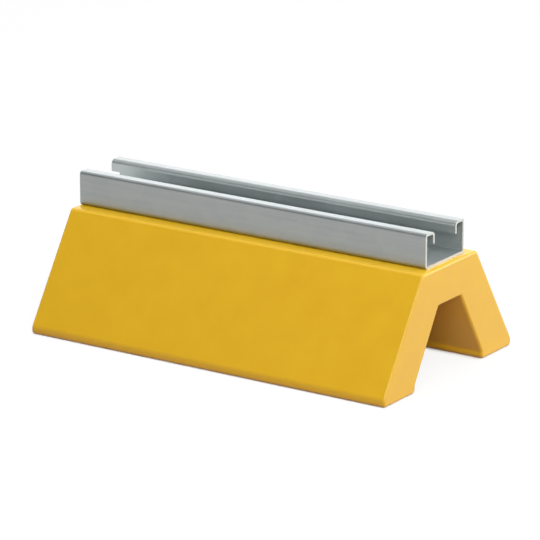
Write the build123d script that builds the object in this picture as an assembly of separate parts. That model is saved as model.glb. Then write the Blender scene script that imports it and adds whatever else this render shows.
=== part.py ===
from build123d import *
import os

# Rooftop pipe support: a coated rigid-foam block with a shallow galvanised strut channel held down along its
# top. Millimetres. X runs along the block, Y across it, Z up. The origin is on the roof, in the middle of the
# block's footprint.

# Foam block, with a short upright face on each foot under the sloped sides. The width of the top is to its sharp
# corners, before rounding, and the base's is over the feet.
block_length = 244.0
block_height = 67.0
block_base_width = 138.0
block_top_width = 57.8
foot_height = 4.5
foot_edge_radius = 2.0
foot_bend_radius = 5.0
top_corner_radius = 3.0
end_edge_radius = 1.5

# Tunnel along the underside, so that rainwater runs through and the block stands on two legs
tunnel_height = 44.6
tunnel_base_width = 72.2
tunnel_top_width = 24.2
tunnel_mouth_radius = 2.5
tunnel_bend_radius = 3.0
tunnel_roof_radius = 2.0

# Strut channel, 1-5/8 x 13/16 in, roll-formed from 16 gauge galvanised strip with a plain web. The radii are
# those inside the bends.
channel_length = 239.0
channel_setback = 1.0
channel_width = 41.3
channel_height = 20.6
channel_gauge = 1.5
bend_radius = 0.6
lip_bend_radius = 1.5
slot_width = 22.2
lip_depth = 7.1

# Hex washer-head screws that hold the channel down, on flat washers
screw_count = 2
screw_spacing = 150.0
screw_diameter = 6.3
screw_length = 19.0
screw_point_length = 5.0
screw_point_diameter = 1.0
head_across_flats = 9.5
head_height = 4.3
head_chamfer = 0.5
flange_diameter = 13.0
flange_height = 1.2
washer_diameter = 22.0
washer_thickness = 1.6

# Clearances on the diameter: in the channel and washers, and in the foam that the threads grip
screw_hole_clearance = 0.7
foam_hole_clearance = 0.1

# Places that follow from the sizes above
channel_start = -block_length / 2 + channel_setback
channel_middle = channel_start + channel_length / 2
web_top = block_height + channel_gauge
washer_top = web_top + washer_thickness
screw_row = GridLocations(screw_spacing, 0, screw_count, 1)


def section_along_x(section, start, length):
    """Stand a section drawn in XY up in the YZ plane at x = start, and extrude it towards +X."""
    across = Plane(origin=(start, 0, 0), x_dir=(0, 1, 0), z_dir=(1, 0, 0))
    return extrude(across * section, amount=length)


def rounded_section(corners):
    """A closed section, the same on both sides of y = 0, from half its corners with a radius for each."""
    points = list(corners)
    section = make_face(Polyline(*points, *[(-y, z) for y, z in reversed(points)], close=True))
    for (y, z), radius in corners.items():
        if radius:
            pair = [section.vertices().sort_by_distance((side * y, z, 0))[0] for side in (-1, 1)]
            section = fillet(pair, radius)
    return section


def block_section():
    """Section of the block: sloped sides on two upright feet, over a tunnel whose walls end upright too."""
    inside, outside = tunnel_base_width / 2, block_base_width / 2
    return rounded_section(
        {
            (tunnel_top_width / 2, tunnel_height): tunnel_roof_radius,
            (inside, foot_height): tunnel_bend_radius,
            (inside, 0): tunnel_mouth_radius,
            (outside, 0): foot_edge_radius,
            (outside, foot_height): foot_bend_radius,
            (block_top_width / 2, block_height): top_corner_radius,
        }
    )


def screw_outline(diameter, point_diameter, top):
    """Half section of a screw's shank and point in XZ, from its tip up to z = top."""
    tip = washer_top - screw_length
    shoulder = tip + screw_point_length
    return Polyline(
        (0, tip),
        (point_diameter / 2, tip),
        (diameter / 2, shoulder),
        (diameter / 2, top),
        (0, top),
        close=True,
    )


def screw_shank(clearance, top):
    """A screw's shank and point, standing on the Z axis, grown by a clearance on the diameter."""
    outline = screw_outline(screw_diameter + clearance, screw_point_diameter + clearance, top)
    return revolve(make_face(Plane.XZ * outline), Axis.Z)


def make_block():
    """The moulded foam block, rounded all round both ends, with a hole for each screw."""
    block = section_along_x(block_section(), -block_length / 2, block_length)
    block = fillet(block.faces().filter_by(Axis.X).edges(), end_edge_radius)
    holes = Pos(channel_middle, 0, 0) * screw_row * screw_shank(foam_hole_clearance, block_height)
    return block - holes


def channel_section():
    """Section of the channel: one strip of even gauge, with two sides and two lips turned in and down."""
    gauge, top = channel_gauge, channel_height
    side, lip, lip_end = channel_width / 2, slot_width / 2, channel_height - lip_depth
    return rounded_section(
        {
            (side - gauge, gauge): bend_radius,
            (side - gauge, top - gauge): bend_radius,
            (lip + gauge, top - gauge): lip_bend_radius,
            (lip + gauge, lip_end): 0,
            (lip, lip_end): 0,
            (lip, top): lip_bend_radius + gauge,
            (side, top): bend_radius + gauge,
            (side, 0): bend_radius + gauge,
        }
    )


def make_channel():
    """The strut channel, lying on the block's top, with a clearance hole in its web for each screw."""
    channel = section_along_x(Pos(0, block_height, 0) * channel_section(), channel_start, channel_length)
    hole = Pos(0, 0, block_height) * extrude(
        Circle((screw_diameter + screw_hole_clearance) / 2), amount=channel_gauge
    )
    return channel - Pos(channel_middle, 0, 0) * screw_row * hole


def make_washer():
    """One flat washer, lying on the web on the Z axis."""
    ring = Circle(washer_diameter / 2) - Circle((screw_diameter + screw_hole_clearance) / 2)
    return Pos(0, 0, web_top) * extrude(ring, amount=washer_thickness)


def make_screw():
    """One hex washer-head screw on the Z axis, with its flange on the washer."""
    flange = Pos(0, 0, washer_top) * extrude(Circle(flange_diameter / 2), amount=flange_height)
    across_corners = 2 * head_across_flats / 3**0.5
    head = Pos(0, 0, washer_top) * extrude(RegularPolygon(across_corners / 2, 6), amount=head_height)
    head = chamfer(head.faces().sort_by(Axis.Z)[-1].edges(), head_chamfer)
    return screw_shank(0, washer_top) + flange + head


def row_of(piece):
    """Copies of a piece, one at each screw place along the channel."""
    return Compound(children=[Pos(channel_middle, 0, 0) * place * piece for place in screw_row])


nodes = {
    "foam_block": make_block(),
    "strut_channel": make_channel(),
    "flat_washers": row_of(make_washer()),
    "hold_down_screws": row_of(make_screw()),
}

os.makedirs("parts", exist_ok=True)
for name, shape in nodes.items():
    export_step(shape, f"parts/{name}.step")
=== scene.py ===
"""Rooftop pipe support: a yellow foam block with a galvanised strut channel, dressed and lit as in a studio.

Lengths are in metres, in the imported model's own frame: X along the block, Y across it with the camera's side at
minus Y, Z up, and the origin on the floor in the middle of the block.
"""

from __future__ import annotations

import logging
import math
from dataclasses import dataclass
from enum import Enum

import bpy
from mathutils import Matrix, Vector

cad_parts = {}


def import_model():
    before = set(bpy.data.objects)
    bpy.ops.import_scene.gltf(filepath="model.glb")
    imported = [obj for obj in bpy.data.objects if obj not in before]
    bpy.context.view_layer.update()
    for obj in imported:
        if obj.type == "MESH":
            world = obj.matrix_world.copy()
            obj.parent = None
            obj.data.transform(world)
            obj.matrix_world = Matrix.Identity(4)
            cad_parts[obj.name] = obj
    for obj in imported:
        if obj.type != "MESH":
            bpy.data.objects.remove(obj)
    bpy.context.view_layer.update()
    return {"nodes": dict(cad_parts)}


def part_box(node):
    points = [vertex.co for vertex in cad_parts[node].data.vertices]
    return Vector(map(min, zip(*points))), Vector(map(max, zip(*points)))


LOG = logging.getLogger("pipe_support")
MM = 0.001
BODY = "root"

Colour = tuple[float, float, float]


class Slot(Enum):
    """The record's material slots."""

    FOAM = "coated_foam"
    STRIP = "galvanised_strip"
    PLATE = "zinc_plate"


def srgb(red: int, green: int, blue: int) -> Colour:
    """Turn a display colour into the linear one that a shader takes.

    Args:
        red: Red, from 0 to 255.
        green: Green, from 0 to 255.
        blue: Blue, from 0 to 255.

    Returns:
        The linear colour.
    """

    def linear(level: int) -> float:
        """Undo the display curve for one channel."""
        share = level / 255
        return share / 12.92 if share <= 0.04045 else ((share + 0.055) / 1.055) ** 2.4

    return linear(red), linear(green), linear(blue)


class Level:
    """A number that varies over a surface, on which Python arithmetic adds Math nodes."""

    def __init__(self, shader: Shader, socket: bpy.types.NodeSocket) -> None:
        """Wrap a socket.

        Args:
            shader: The shader that the socket belongs to.
            socket: The socket that gives the number.
        """
        self.shader = shader
        self.socket = socket

    def _math(self, operation: str, *terms: Level | float, clamp: bool = False) -> Level:
        """Add one Math node.

        Args:
            operation: The node's operation.
            terms: What goes into its sockets, in order.
            clamp: Whether the result stays between 0 and 1.

        Returns:
            The node's result.
        """
        inputs = {place: term for place, term in enumerate(terms)}
        node = self.shader.add("ShaderNodeMath", {"operation": operation, "use_clamp": clamp}, inputs)
        return Level(self.shader, node.outputs[0])

    def __add__(self, other: Level | float) -> Level:
        """Add another number."""
        return self._math("ADD", self, other)

    __radd__ = __add__

    def __mul__(self, other: Level | float) -> Level:
        """Multiply by another number."""
        return self._math("MULTIPLY", self, other)

    __rmul__ = __mul__

    def __sub__(self, other: Level | float) -> Level:
        """Take another number away."""
        return self._math("SUBTRACT", self, other)

    def __rsub__(self, other: Level | float) -> Level:
        """Take this number away from another."""
        return self._math("SUBTRACT", other, self)

    def __abs__(self) -> Level:
        """Drop the sign."""
        return self._math("ABSOLUTE", self)

    def above(self, edge: float, blur: float) -> Level:
        """Give 1 where this number is over an edge and 0 where it is under, with a soft change between.

        Args:
            edge: The middle of the change.
            blur: The width of the change.

        Returns:
            The mask.
        """
        return self._math("ADD", (self - edge) * (1 / blur), 0.5, clamp=True)

    def larger(self, other: Level | float) -> Level:
        """Keep the larger of two numbers."""
        return self._math("MAXIMUM", self, other)


class Shader:
    """The node tree of a material or a world, emptied, with one place for all its patterns."""

    def __init__(self, owner: bpy.types.Material | bpy.types.World, place: str = "Object") -> None:
        """Empty the tree.

        Args:
            owner: The material or world.
            place: The coordinates of its patterns.
        """
        owner.use_nodes = True
        self.tree = owner.node_tree
        self.tree.nodes.clear()
        self.place = self.add("ShaderNodeTexCoord").outputs[place]

    def add(
        self,
        kind: str,
        settings: dict[str, object] | None = None,
        inputs: dict[str | int, object] | None = None,
    ) -> bpy.types.Node:
        """Add a node, with its settings made first and its sockets filled after.

        Args:
            kind: The node's type.
            settings: Its properties, by name.
            inputs: A value, a socket or a Level for each of its sockets, by name or number.

        Returns:
            The node.
        """
        node = self.tree.nodes.new(kind)
        for name, setting in (settings or {}).items():
            setattr(node, name, setting)
        for name, term in (inputs or {}).items():
            socket = node.inputs[name]
            if isinstance(term, Level):
                term = term.socket
            if isinstance(term, bpy.types.NodeSocket):
                self.tree.links.new(term, socket)
            else:
                socket.default_value = term
        return node

    def stretched(self, factors: tuple[float, float, float]) -> bpy.types.NodeSocket:
        """Scale the place along each axis, so that a pattern is drawn out where a factor is small."""
        return self.add("ShaderNodeMapping", {}, {"Vector": self.place, "Scale": factors}).outputs["Vector"]

    def noise(self, grain: float, detail: float = 2.0, place: bpy.types.NodeSocket | None = None) -> Level:
        """Make smooth noise about 0.5.

        Args:
            grain: The size of its blotches, in metres.
            detail: How much finer structure it has.
            place: Where it is read, if not at the plain Object coordinates.

        Returns:
            The noise.
        """
        inputs = {"Vector": place or self.place, "Scale": 1 / grain, "Detail": detail}
        return Level(self, self.add("ShaderNodeTexNoise", {}, inputs).outputs[0])

    def axis(self, name: str) -> Level:
        """Read one coordinate, X, Y or Z, in metres."""
        return Level(self, self.add("ShaderNodeSeparateXYZ", {}, {0: self.place}).outputs[name])

    def blend(self, share: Level, first: object, second: object) -> bpy.types.NodeSocket:
        """Mix two colours.

        Args:
            share: 0 for the first and 1 for the second.
            first: A colour or a colour socket.
            second: Another one.

        Returns:
            The mixed colour.
        """
        pair = {}
        for number, colour in ((6, first), (7, second)):
            pair[number] = (*colour, 1.0) if isinstance(colour, tuple) else colour
        settings = {"data_type": "RGBA", "clamp_factor": True}
        return self.add("ShaderNodeMix", settings, {0: share, **pair}).outputs[2]

    def relief(self, height: Level, depth: float) -> bpy.types.NodeSocket:
        """Turn a height into a normal.

        Args:
            height: The height, from 0 to 1.
            depth: What a height of 1 stands for, in metres.

        Returns:
            The normal.
        """
        inputs = {"Height": height, "Distance": depth, "Strength": 1.0}
        return self.add("ShaderNodeBump", {}, inputs).outputs["Normal"]

    def mixed(self, share: Level, first: bpy.types.Node, second: bpy.types.Node) -> bpy.types.Node:
        """Mix two shaders.

        Args:
            share: 0 for the first and 1 for the second.
            first: A shader node.
            second: Another one.

        Returns:
            The mix.
        """
        return self.add("ShaderNodeMixShader", {}, {0: share, 1: first.outputs[0], 2: second.outputs[0]})

    def seen_plainly(self) -> Level:
        """Give 1 for what the camera sees with nothing between."""
        return Level(self, self.add("ShaderNodeLightPath").outputs["Is Camera Ray"])

    def seen(self) -> Level:
        """Give 1 for what the camera sees, plainly or in a reflection, and 0 for what only lights a surface."""
        path = self.add("ShaderNodeLightPath")
        glossy, through = (Level(self, path.outputs[kind]) for kind in ("Is Glossy Ray", "Is Transmission Ray"))
        return self.seen_plainly().larger(glossy).larger(through)

    def surface(self, inputs: dict[str, object]) -> None:
        """Close a material with one Principled shader, given what goes into its sockets."""
        shader = self.add("ShaderNodeBsdfPrincipled", {}, inputs)
        self.add("ShaderNodeOutputMaterial", {}, {"Surface": shader.outputs["BSDF"]})


@dataclass(frozen=True)
class CoatedFoam:
    """Satin yellow skin over rigid foam: faint mottling, orange peel, and soft waves from the mould."""

    name: str = "coated_foam_finish"
    fair: Colour = srgb(225, 180, 14)
    deep: Colour = srgb(219, 172, 10)
    mottle_grain: float = 14 * MM
    speck_grain: float = 1.6 * MM
    peel_grain: float = 1.1 * MM
    peel_depth: float = 0.03 * MM
    wave_grain: float = 26 * MM
    wave_depth: float = 0.12 * MM
    roughness: float = 0.52
    coat: float = 0.6
    coat_roughness: float = 0.4

    def material(self) -> bpy.types.Material:
        """Build the material."""
        material = bpy.data.materials.new(self.name)
        shader = Shader(material)
        mottle = shader.noise(self.mottle_grain, 4.0)
        speck = shader.noise(self.speck_grain, 1.0)
        tone = mottle.above(0.5, 0.5) * 0.75 + speck.above(0.5, 0.6) * 0.25
        peel = shader.noise(self.peel_grain, 1.0)
        wave = shader.noise(self.wave_grain, 1.0)
        height = wave + peel * (self.peel_depth / self.wave_depth)
        shader.surface(
            {
                "Base Color": shader.blend(tone, self.deep, self.fair),
                "Roughness": self.roughness + (mottle - 0.5) * 0.2,
                "IOR": 1.5,
                "Coat Weight": self.coat,
                "Coat Roughness": self.coat_roughness,
                "Normal": shader.relief(height, self.wave_depth),
            }
        )
        return material


@dataclass(frozen=True)
class GalvanisedStrip:
    """Zinc under a dull oxide film, with its inside faces painted lighter as painted light in the channel's
    hollow: faint spangle, streaks along the strip, and sheared ends.
    """

    first_end: float
    last_end: float
    half_width: float
    top: float
    name: str = "galvanised_strip_finish"
    gauge: float = 1.5 * MM
    fair: Colour = srgb(166, 171, 171)
    dull: Colour = srgb(151, 158, 159)
    # The inside faces' colours: lighter, as painted light that brightens the shaded hollow of the channel.
    inside_painted_light_fair: Colour = srgb(196, 203, 203)
    inside_painted_light_dull: Colour = srgb(183, 191, 191)
    sheared: Colour = srgb(186, 188, 185)
    spangle_grain: float = 9 * MM
    streak_grain: float = 2.2 * MM
    streak_stretch: float = 0.04
    cut_depth: float = 0.25 * MM
    metal_share: float = 0.78
    roughness: float = 0.34

    def material(self) -> bpy.types.Material:
        """Build the material."""
        material = bpy.data.materials.new(self.name)
        shader = Shader(material)
        cells = shader.add(
            "ShaderNodeTexVoronoi", {"feature": "F1"}, {"Vector": shader.place, "Scale": 1 / self.spangle_grain}
        )
        spangle = Level(shader, shader.add("ShaderNodeSeparateColor", {}, {0: cells.outputs["Color"]}).outputs[0])
        along = shader.stretched((self.streak_stretch, 1.0, 1.0))
        streak = shader.noise(self.streak_grain, 3.0, along)
        tone = spangle * 0.35 + streak.above(0.5, 0.5) * 0.65
        along_block = shader.axis("X")
        cut = along_block.above(self.last_end - self.cut_depth, 0.05 * MM)
        cut = cut.larger((0 - along_block).above(-self.first_end - self.cut_depth, 0.05 * MM))
        # The outer faces keep the plain zinc; the inside faces get the painted light colours.
        outside_vs_painted_inside = abs(shader.axis("Y")).above(self.half_width - self.gauge / 2, self.gauge / 4)
        outside_vs_painted_inside = outside_vs_painted_inside.larger(shader.axis("Z").above(self.top - self.gauge / 2, self.gauge / 4))
        # Painted light: the inside faces are coloured lighter than the outside.
        inside_painted_light = shader.blend(tone, self.inside_painted_light_dull, self.inside_painted_light_fair)
        zinc = shader.blend(outside_vs_painted_inside, inside_painted_light, shader.blend(tone, self.dull, self.fair))
        shader.surface(
            {
                "Base Color": shader.blend(cut, zinc, self.sheared),
                "Metallic": self.metal_share,
                "Roughness": self.roughness + (streak - 0.5) * 0.16 + spangle * 0.05 + cut * 0.15,
                "Normal": shader.relief(streak, 0.01 * MM),
            }
        )
        return material


@dataclass(frozen=True)
class ZincPlate:
    """Bright zinc plate on the small fixings, with a faint cloudiness."""

    name: str = "zinc_plate_finish"
    fair: Colour = srgb(206, 206, 200)
    dull: Colour = srgb(182, 184, 182)
    cloud_grain: float = 3 * MM
    roughness: float = 0.28

    def material(self) -> bpy.types.Material:
        """Build the material."""
        material = bpy.data.materials.new(self.name)
        shader = Shader(material)
        cloud = shader.noise(self.cloud_grain, 3.0)
        shader.surface(
            {
                "Base Color": shader.blend(cloud.above(0.5, 0.4), self.dull, self.fair),
                "Metallic": 1.0,
                "Roughness": self.roughness + (cloud - 0.5) * 0.2,
            }
        )
        return material


@dataclass(frozen=True)
class StudioFloor:
    """Matt floor that is white to the camera and in metal, throws little light back, and takes the shadow, partly
    as a painted shadow that darkens its glow near the block.
    """

    name: str = "studio_floor_finish"
    seen_colour: Colour = (0.98, 0.98, 0.98)
    bounce_colour: Colour = (0.39, 0.22, 0.09)
    glow_share: float = 0.88
    # How far the painted shadow in the floor's glow reaches: short for the camera, long in reflections.
    painted_contact_shadow_reach: float = 4 * MM
    painted_shelter_shade_reach: float = 80 * MM

    def material(self) -> bpy.types.Material:
        """Build the material."""
        material = bpy.data.materials.new(self.name)
        shader = Shader(material)
        seen = shader.seen()
        grain = shader.noise(40 * MM, 2.0)
        pale = shader.blend(grain, tuple(0.99 * level for level in self.seen_colour), self.seen_colour)
        tone = shader.blend(seen, self.bounce_colour, pale)
        matt = shader.add("ShaderNodeBsdfDiffuse", {}, {"Color": tone})
        glow = shader.add("ShaderNodeEmission", {}, {"Color": (1, 1, 1, 1), "Strength": 1.0})
        plainly = shader.seen_plainly()
        # Painted shadow: the glow fades where the block stands near, as seen plainly and in reflections.
        open_of_painted_shadow = plainly * self.open_of_painted_shadow(shader, self.painted_contact_shadow_reach)
        open_of_painted_shadow = open_of_painted_shadow + (1 - plainly) * self.open_of_painted_shadow(shader, self.painted_shelter_shade_reach)
        mixed = shader.mixed(seen * open_of_painted_shadow * self.glow_share, matt, glow)
        shader.add("ShaderNodeOutputMaterial", {}, {"Surface": mixed.outputs[0]})
        return material

    def open_of_painted_shadow(self, shader: Shader, reach: float) -> Level:
        """Give 1 on open floor, falling to 0 where something stands over it, which paints a shadow into the
        floor's glow.

        Args:
            shader: The floor's shader.
            reach: How far off something still counts, in metres.

        Returns:
            The openness.
        """
        node = shader.add("ShaderNodeAmbientOcclusion", {"samples": 8}, {"Distance": reach})
        return Level(shader, node.outputs["AO"])


def deselect_all() -> None:
    """Leave nothing selected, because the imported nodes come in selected."""
    bpy.ops.object.select_all(action="DESELECT")


@dataclass
class PackedParts:
    """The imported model's own nodes, each with its finish."""

    nodes: dict[str, bpy.types.Object]

    def dress(self) -> None:
        """Give every node its finish in place of the plain one."""
        low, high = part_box("strut_channel")
        strip = GalvanisedStrip(first_end=low.x, last_end=high.x, half_width=high.y, top=high.z)
        plate = ZincPlate().material()
        finishes = {
            "foam_block": CoatedFoam().material(),
            "strut_channel": strip.material(),
            "flat_washers": plate,
            "hold_down_screws": plate,
        }
        for name, material in finishes.items():
            for slot in self.nodes[name].material_slots:
                slot.material = material
            LOG.info("dressed %s with %s", name, material.name)


@dataclass
class Studio:
    """Floor, world and lamps."""

    floor_size: float = 12.0
    sky_strength: float = 0.1
    key_power: float = 32.0
    top_power: float = 27.0
    end_power: float = 19.0
    rim_power: float = 6.0
    dark_strength: float = 0.15
    dark_from: float = 0.3
    dark_blur: float = 0.2

    def build(self) -> None:
        """Make the floor, the world and every lamp."""
        self.make_floor()
        self.make_world()
        self.lamp("key", (1.2, -1.3, 1.5), (1.2, 1.2), self.key_power)
        self.lamp("top", (0.0, 0.0, 2.0), (1.4, 1.4), self.top_power, mirrored=False)
        self.lamp("end", (1.3, 1.1, 0.4), (0.9, 0.6), self.end_power)
        self.lamp("rim", (-0.9, 1.5, 0.75), (1.6, 0.7), self.rim_power)

    def make_floor(self) -> None:
        """Lay the floor just under the feet."""
        deselect_all()
        bpy.ops.mesh.primitive_plane_add(size=self.floor_size, location=(0, 0, -0.05 * MM))
        floor = bpy.context.active_object
        floor.name = "studio_floor"
        floor.data.materials.append(StudioFloor().material())

    def make_world(self) -> None:
        """Make a dim world that looks white in gloss, apart from a dark room high up on the front's side."""
        world = bpy.data.worlds.new("studio_world")
        bpy.context.scene.world = world
        shader = Shader(world, "Generated")
        high_up = shader.axis("Z").above(self.dark_from, self.dark_blur)
        in_front = (0 - shader.axis("Y")).above(self.dark_from, self.dark_blur)
        lighting, white, dark = (
            shader.add("ShaderNodeBackground", {}, {"Color": (1, 1, 1, 1), "Strength": strength})
            for strength in (self.sky_strength, 1.0, self.dark_strength)
        )
        mixed = shader.mixed(shader.seen(), lighting, shader.mixed(high_up * in_front, white, dark))
        shader.add("ShaderNodeOutputWorld", {}, {"Surface": mixed.outputs[0]})

    def lamp(
        self,
        name: str,
        place: tuple[float, float, float],
        size: tuple[float, float],
        power: float,
        mirrored: bool = True,
    ) -> None:
        """Hang one soft rectangular lamp, aimed at the middle of the block.

        Args:
            name: The lamp's name.
            place: Where it hangs.
            size: Its width and height.
            power: Its power in watts.
            mirrored: Whether it shows in gloss, where a strong lamp would burn a flat face out to white.
        """
        data = bpy.data.lights.new(name, "AREA")
        data.shape = "RECTANGLE"
        data.size, data.size_y = size
        data.energy = power
        lamp = bpy.data.objects.new(name, data)
        lamp.visible_camera = False
        lamp.visible_glossy = mirrored
        bpy.context.scene.collection.objects.link(lamp)
        lamp.location = place
        aim = Vector((0, 0, 0.045)) - lamp.location
        lamp.rotation_euler = aim.to_track_quat("-Z", "Y").to_euler()


@dataclass
class PhotoCamera:
    """A long lens that stands where the photograph was taken from."""

    azimuth: float = 33.8097
    elevation: float = 16.8695
    distance: float = 2.2554
    focal_px: float = 3870.0
    frame_px: int = 540
    sensor_mm: float = 36.0
    target: tuple[float, float, float] = (-0.00654, 0.00968, 0.03853)

    def place(self) -> None:
        """Create the camera and make it the scene's own."""
        data = bpy.data.cameras.new("photo_camera")
        data.sensor_width = self.sensor_mm
        data.lens = self.focal_px / self.frame_px * self.sensor_mm
        data.clip_start, data.clip_end = 0.05, 50.0
        camera = bpy.data.objects.new("photo_camera", data)
        bpy.context.scene.collection.objects.link(camera)
        around, up = math.radians(self.azimuth), math.radians(self.elevation)
        back = Vector((math.sin(around) * math.cos(up), -math.cos(around) * math.cos(up), math.sin(up)))
        camera.location = Vector(self.target) + back * self.distance
        camera.rotation_euler = (-back).to_track_quat("-Z", "Y").to_euler()
        bpy.context.scene.camera = camera


def main() -> None:
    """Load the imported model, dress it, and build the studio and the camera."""
    logging.basicConfig(level=logging.INFO, format="%(message)s")
    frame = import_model()
    bpy.context.scene.view_settings.view_transform = "Standard"
    PackedParts(frame["nodes"]).dress()
    Studio().build()
    PhotoCamera().place()


if __name__ == "__main__":
    main()
